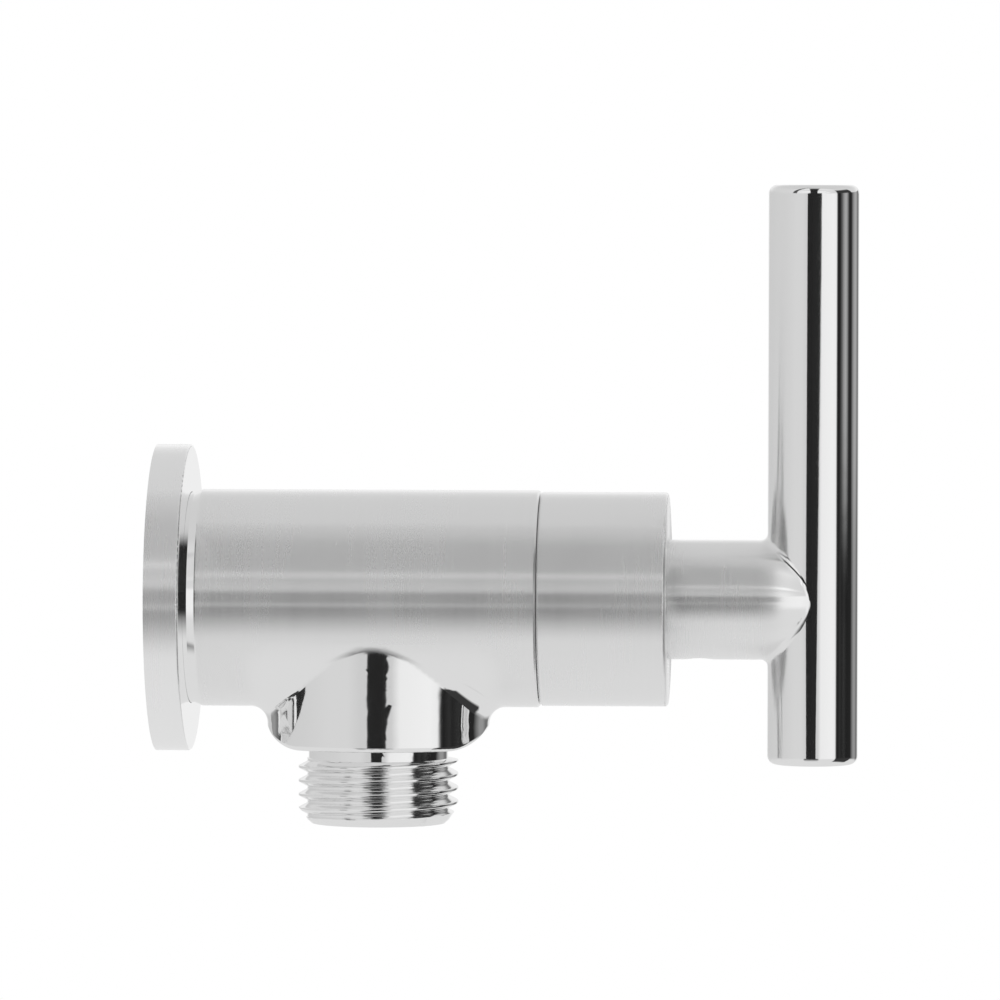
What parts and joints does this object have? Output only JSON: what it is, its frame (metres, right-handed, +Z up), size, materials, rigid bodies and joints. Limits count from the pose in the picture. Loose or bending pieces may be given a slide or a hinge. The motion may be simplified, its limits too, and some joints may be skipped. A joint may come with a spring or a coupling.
{
  "type": "angle stop valve",
  "caption": "Angle stop valve with a round wall flange, a smooth barrel, a threaded hose nipple below and a quarter-turn T-bar lever.",
  "frame": {"origin": "centre of the wall flange's back face, on the valve's axis", "axes": "+X out from the wall along the valve's axis to the lever, +Z up, so the hose outlet points along -Z and the open lever stands along Z"},
  "size_m": [0.0915, 0.04, 0.0833],
  "materials": {
    "chrome": "polished chrome plate on brass",
    "steel": "stainless steel",
    "brass": "machined brass",
    "rubber": "black rubber",
    "plastic": "white acetal plastic",
    "ceramic": "lapped white ceramic"
  },
  "bodies": {
    "valve": {"valve_body": "chrome", "flange_retaining_ring": "rubber", "inlet_strainer": "steel", "inlet_gasket": "rubber", "seat_seal": "rubber", "fixed_ceramic_disc": "ceramic", "disc_cage": "plastic", "headwork_body": "brass", "headwork_o_ring": "rubber", "thrust_washer": "plastic", "bonnet_sleeve": "chrome", "hub_glide_ring": "plastic"},
    "flange": {"wall_flange": "chrome"},
    "handle": {"lever_handle": "chrome", "spline_insert": "plastic", "grub_screw": "steel", "spindle": "brass", "spindle_circlip": "steel", "lower_spindle_o_ring": "rubber", "upper_spindle_o_ring": "rubber", "disc_carrier": "plastic", "moving_ceramic_disc": "ceramic"}
  },
  "joints": [
    {"name": "handle_turn", "type": "hinge", "parent": "valve", "child": "handle", "pos_m": [0.0856, 0, 0], "axis": [-1, 0, 0], "range_deg": [0, 90]},
    {"name": "flange_turn", "type": "hinge", "parent": "valve", "child": "flange", "pos_m": [0, 0, 0], "axis": [1, 0, 0], "continuous": true}
  ]
}
